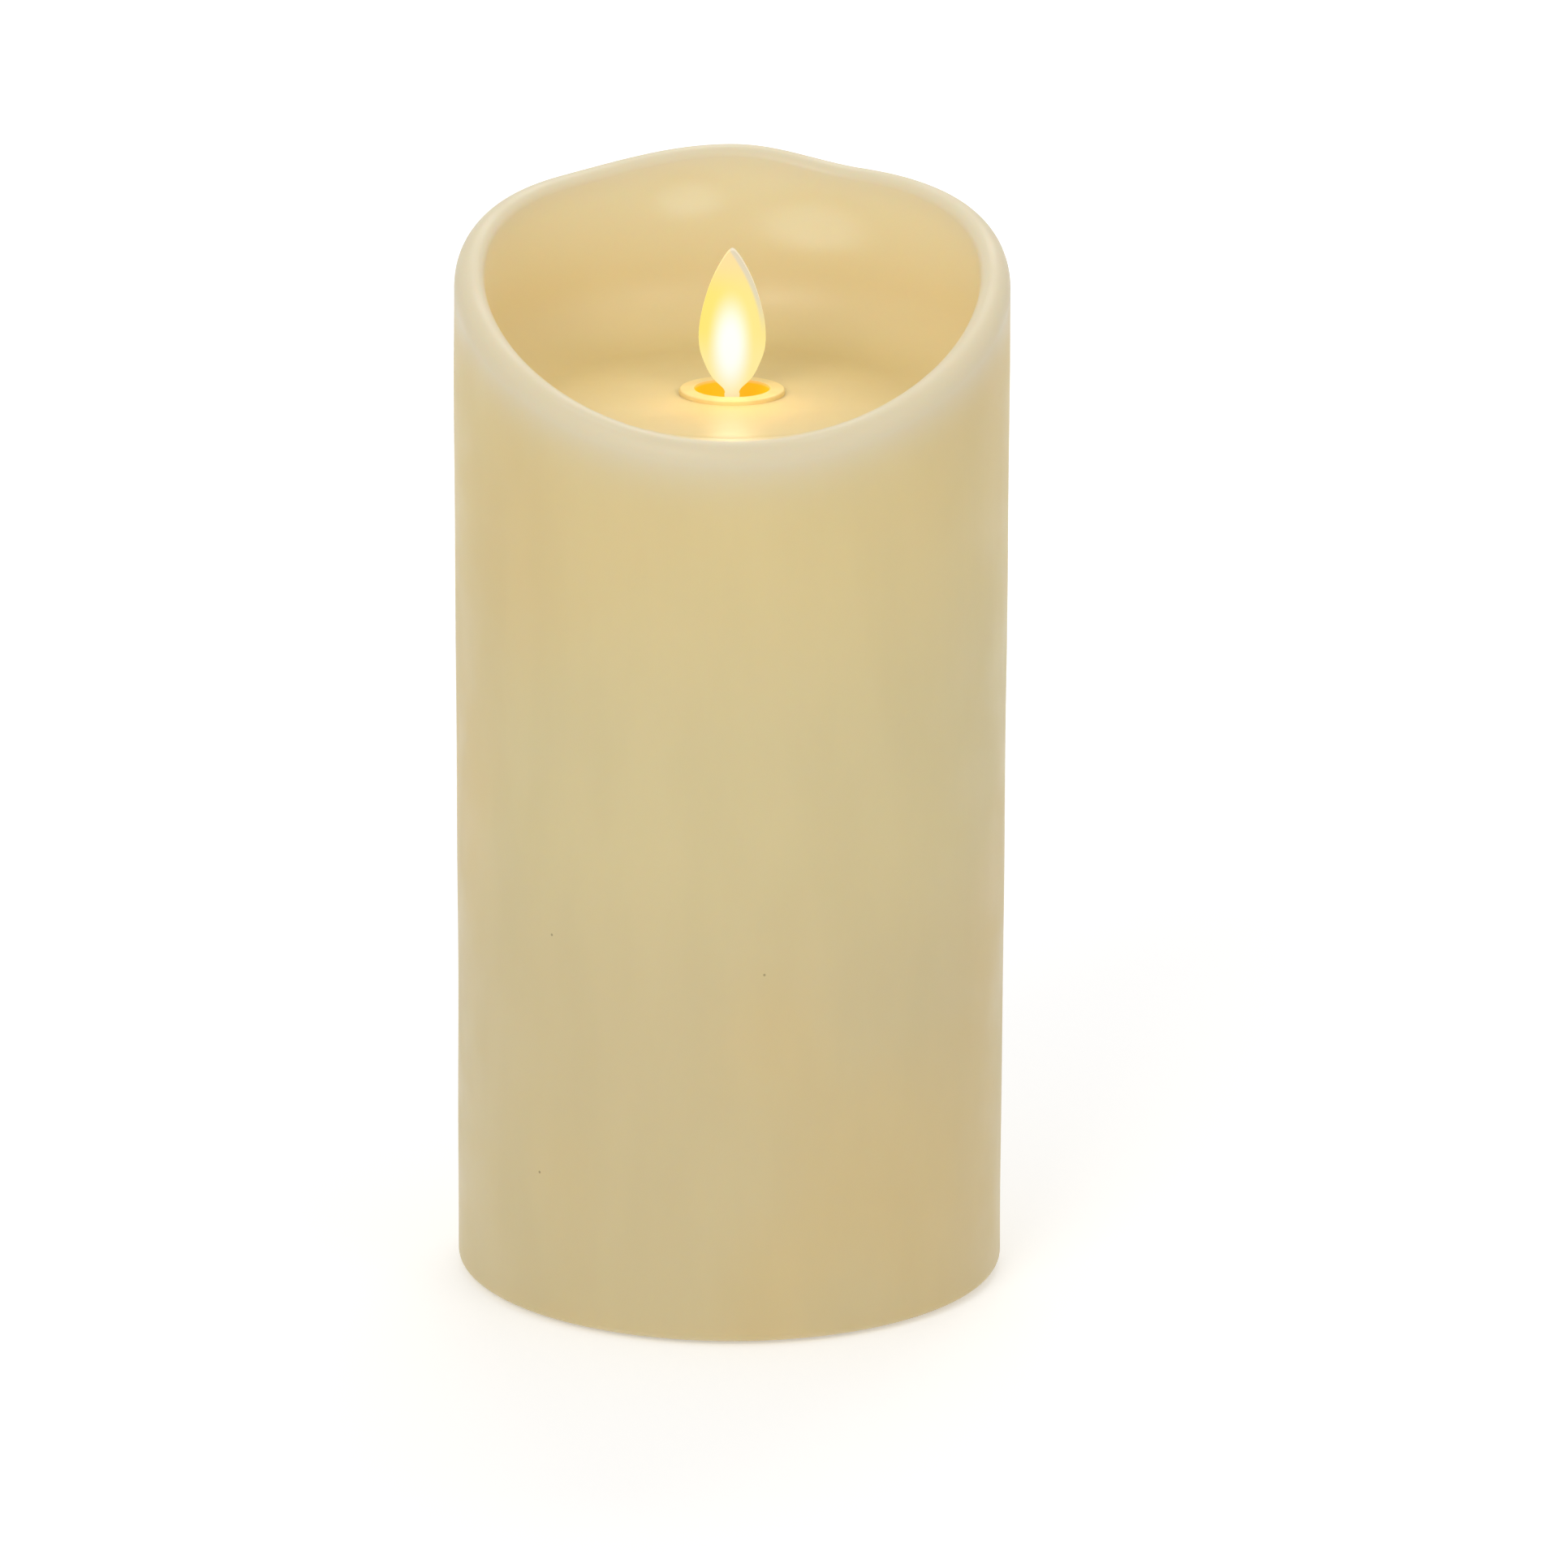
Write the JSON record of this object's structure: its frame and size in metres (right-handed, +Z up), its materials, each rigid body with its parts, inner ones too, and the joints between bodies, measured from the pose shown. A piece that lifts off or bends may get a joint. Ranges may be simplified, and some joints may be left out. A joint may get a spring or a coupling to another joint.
{
  "type": "flameless led candle",
  "caption": "Ivory wax pillar candle with a scalloped rim and a hanging flame blade that is lit and rocked by a magnet coil, with a battery door and slide switch underneath.",
  "frame": {"origin": "on the candle's axis, at the level of the surface it stands on", "axes": "+Z up along the candle's axis, -Y towards the low side of the rim, +X to the right as seen from there"},
  "size_m": [0.0888, 0.0888, 0.1778],
  "materials": {
    "wax": "satin",
    "collar_plastic": "gloss",
    "flame_plastic": "matte",
    "magnet_nickel": "polished",
    "steel_wire": "satin",
    "housing_plastic": "matte",
    "screw_steel": "satin",
    "lamp_epoxy": "gloss",
    "tinned_metal": "satin",
    "bobbin_plastic": "satin",
    "copper_winding": "satin",
    "board_green": "satin",
    "chip_black": "satin",
    "can_sleeve": "gloss",
    "can_metal": "satin",
    "case_plastic": "satin",
    "cell_wrap": "satin",
    "spring_steel": "satin",
    "base_plastic": "satin",
    "foot_rubber": "matte",
    "switch_plastic": "satin",
    "lead_red": "satin",
    "lead_black": "satin"
  },
  "bodies": {
    "root": {"wax_shell": "wax", "flame_collar": "collar_plastic", "housing_front": "housing_plastic", "housing_rear": "housing_plastic", "housing_screws": "screw_steel", "flange_screws": "screw_steel", "led_holder": "housing_plastic", "led_lamp": "lamp_epoxy", "led_pins": "tinned_metal", "led_leads": "lead_red", "coil_bobbin": "bobbin_plastic", "coil_winding": "copper_winding", "coil_leads": "copper_winding", "control_board": "board_green", "control_chip": "chip_black", "board_capacitor": "can_sleeve", "board_resistors": "chip_black", "timer_crystal": "can_metal", "board_screws": "screw_steel", "battery_case": "case_plastic", "battery_left": "cell_wrap", "battery_right": "cell_wrap", "contact_positive": "spring_steel", "contact_negative": "spring_steel", "contact_spring": "spring_steel", "base_plate": "base_plastic", "base_screws": "screw_steel", "foot_ring": "foot_rubber", "switch_body": "switch_plastic", "switch_terminals": "tinned_metal", "switch_screws": "screw_steel", "switch_leads": "lead_black", "battery_lead_red": "lead_red", "battery_lead_black": "lead_black"},
    "wire": {"pivot_wire": "steel_wire"},
    "flame": {"flame_paddle": "flame_plastic", "flame_magnet": "magnet_nickel"},
    "door": {"battery_door": "base_plastic", "door_contact": "spring_steel", "door_spring": "spring_steel"},
    "switch": {"switch_knob": "switch_plastic"}
  },
  "joints": [
    {"name": "flame_rock", "type": "hinge", "parent": "root", "child": "wire", "pos_m": [0, 0, 0.1454], "axis": [1, 0, 0], "range_deg": [-8, 8]},
    {"name": "flame_sway", "type": "hinge", "parent": "wire", "child": "flame", "pos_m": [0, 0, 0.1427], "axis": [0, 1, 0], "range_deg": [-8, 8]},
    {"name": "battery_door_hinge", "type": "hinge", "parent": "root", "child": "door", "pos_m": [0, 0.0154, 0.0021], "axis": [1, 0, 0], "range_deg": [0, 95]},
    {"name": "power_switch_slide", "type": "slide", "parent": "root", "child": "switch", "axis": [1, 0, 0], "range_m": [0, 0.004]}
  ]
}
